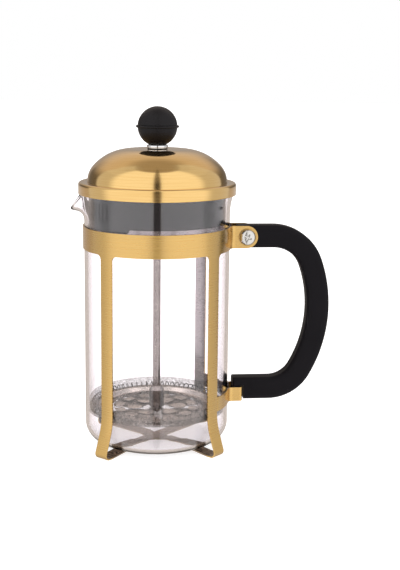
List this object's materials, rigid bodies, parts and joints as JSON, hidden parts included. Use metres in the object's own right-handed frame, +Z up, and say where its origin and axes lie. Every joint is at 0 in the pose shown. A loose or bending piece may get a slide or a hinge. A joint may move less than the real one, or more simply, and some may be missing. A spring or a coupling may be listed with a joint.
{
  "type": "french press",
  "caption": "Coffee press: glass beaker in a gold-coloured steel frame with a clamped black handle, domed lid and a plunger with a spring-edged filter.",
  "frame": {"origin": "on the table, on the axis of the beaker, at the centre of its four feet", "axes": "+Z up along the beaker and the plunger rod, +X towards the handle, -X towards the spout"},
  "size_m": [0.1557, 0.0932, 0.2034],
  "materials": {
    "glass": "clear heat-resistant glass",
    "gold_steel": "gold-coloured satin sheet steel",
    "gold_lid": "gold-coloured steel, brushed in rings",
    "black_plastic": "fine-textured moulded plastic",
    "knob_plastic": "fine-textured moulded plastic",
    "guard_plastic": "smooth glossy moulded plastic",
    "bright_steel": "nickel-plated steel",
    "chrome": "polished chrome plate",
    "rod_steel": "drawn stainless rod",
    "filter_steel": "pressed stainless sheet",
    "spring_steel": "coiled stainless wire",
    "mesh_steel": "fine woven stainless wire",
    "nylon": "natural nylon",
    "washer_fibre": "black fibre washer",
    "brass": "turned brass"
  },
  "bodies": {
    "root": {"beaker": "glass", "frame": "gold_steel", "handle_bracket": "gold_steel", "handle": "black_plastic", "handle_screw": "bright_steel", "screw_washer": "gold_steel", "handle_nut": "bright_steel"},
    "lid_nut": {"lid_nut": "chrome", "lid_washer": "washer_fibre"},
    "lid": {"lid_dome": "gold_lid", "splash_guard": "guard_plastic"},
    "guide_bush": {"guide_bush": "nylon"},
    "plunger": {"plunger_rod": "rod_steel", "knob_upper": "knob_plastic", "knob_lower": "knob_plastic", "knob_insert": "brass", "filter_hub": "chrome", "spiral_plate": "filter_steel", "spring_coil": "spring_steel", "mesh_filter": "mesh_steel", "cross_plate": "filter_steel", "filter_nut": "bright_steel"}
  },
  "joints": [
    {"name": "lid_lift", "type": "slide", "parent": "root", "child": "lid_nut", "axis": [0, 0, 1], "range_m": [0, 0.17]},
    {"name": "lid_turn", "type": "hinge", "parent": "lid_nut", "child": "lid", "pos_m": [0, 0, 0.155], "axis": [0, 0, 1], "continuous": true},
    {"name": "plunger_turn", "type": "hinge", "parent": "lid_nut", "child": "guide_bush", "pos_m": [0, 0, 0.172], "axis": [0, 0, 1], "continuous": true},
    {"name": "plunger_press", "type": "slide", "parent": "guide_bush", "child": "plunger", "axis": [0, 0, 1], "range_m": [0, 0.1]}
  ]
}
